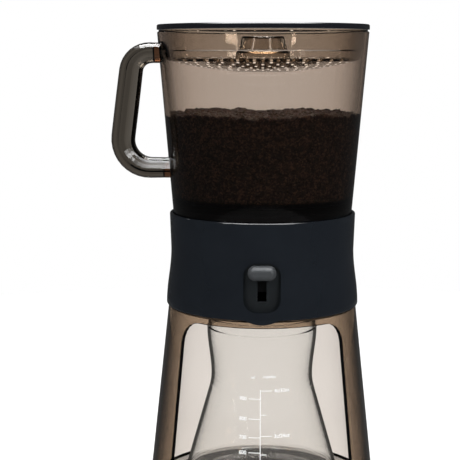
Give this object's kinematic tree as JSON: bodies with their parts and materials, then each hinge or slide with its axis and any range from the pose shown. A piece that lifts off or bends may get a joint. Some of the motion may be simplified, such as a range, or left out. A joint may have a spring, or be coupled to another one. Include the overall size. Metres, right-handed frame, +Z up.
{
  "type": "cold brew coffee maker",
  "caption": "Free-standing cold brew coffee maker: tinted stand with a sliding drain switch, lift-off brewing container with a handle and perforated water distributor, and a glass carafe.",
  "frame": {"origin": "centre of the round base's underside, on the surface that it rests on", "axes": "+Z up, -Y towards the switch and the front arch, -X towards the container's handle"},
  "size_m": [0.219, 0.1898, 0.3885],
  "materials": {
    "stand_shell": "tinted clear",
    "base_pad": "matt",
    "collar": "high gloss",
    "switch_panel": "matt",
    "deck": "satin",
    "seat_ring": "matt",
    "bottom_cover": "satin",
    "cover_screws": "plated",
    "drip_funnel": "satin",
    "pivot_pin": "ground",
    "switch_button": "soft touch",
    "switch_slider": "satin",
    "rocker_lever": "satin",
    "pusher_pin": "satin",
    "container": "tinted clear",
    "handle": "tinted clear",
    "filter_ring": "satin",
    "filter_mesh": "fine woven mesh",
    "filter_seal": "matt",
    "stem_guide": "satin",
    "valve_spring": "drawn",
    "valve_stem": "ground",
    "valve_plug": "matt",
    "stem_clip": "plated",
    "rainmaker": "tinted clear",
    "carafe": "clear"
  },
  "bodies": {
    "stand": {"stand_shell": "stand_shell", "base_pad": "base_pad", "collar": "collar", "switch_panel": "switch_panel", "deck": "deck", "seat_ring": "seat_ring", "bottom_cover": "bottom_cover", "cover_screws": "cover_screws", "drip_funnel": "drip_funnel", "pivot_pin": "pivot_pin"},
    "switch": {"switch_button": "switch_button", "switch_slider": "switch_slider"},
    "lever": {"rocker_lever": "rocker_lever"},
    "pusher": {"pusher_pin": "pusher_pin"},
    "brew_container": {"container": "container", "handle": "handle", "filter_ring": "filter_ring", "filter_mesh": "filter_mesh", "filter_seal": "filter_seal", "stem_guide": "stem_guide", "valve_spring": "valve_spring"},
    "valve": {"valve_stem": "valve_stem", "valve_plug": "valve_plug", "stem_clip": "stem_clip"},
    "distributor": {"rainmaker": "rainmaker"},
    "carafe": {"carafe": "carafe"}
  },
  "joints": [
    {"name": "switch_slide", "type": "slide", "parent": "stand", "child": "switch", "axis": [0, 0, -1], "range_m": [0, 0.016]},
    {"name": "lever_hinge", "type": "hinge", "parent": "stand", "child": "lever", "pos_m": [0, -0.0124, 0.1885], "axis": [1, 0, 0], "range_deg": [0, 18.57]},
    {"name": "pusher_slide", "type": "slide", "parent": "stand", "child": "pusher", "axis": [0, 0, 1], "range_m": [0, 0.004]},
    {"name": "container_lift", "type": "slide", "parent": "stand", "child": "brew_container", "axis": [0, 0, 1], "range_m": [0, 0.1]},
    {"name": "valve_slide", "type": "slide", "parent": "brew_container", "child": "valve", "axis": [0, 0, 1], "range_m": [0, 0.004], "deforming": ["valve_spring"]},
    {"name": "distributor_lift", "type": "slide", "parent": "brew_container", "child": "distributor", "axis": [0, 0, 1], "range_m": [0, 0.06]},
    {"name": "carafe_slide", "type": "slide", "parent": "stand", "child": "carafe", "axis": [0, -1, 0], "range_m": [0, 0.18]}
  ],
  "couplings": [
    {"joint": "lever_hinge", "follows": "switch_slide", "rad_per_m": 20.25},
    {"joint": "pusher_slide", "follows": "switch_slide", "ratio": 0.25},
    {"joint": "valve_slide", "follows": "switch_slide", "ratio": 0.25}
  ]
}
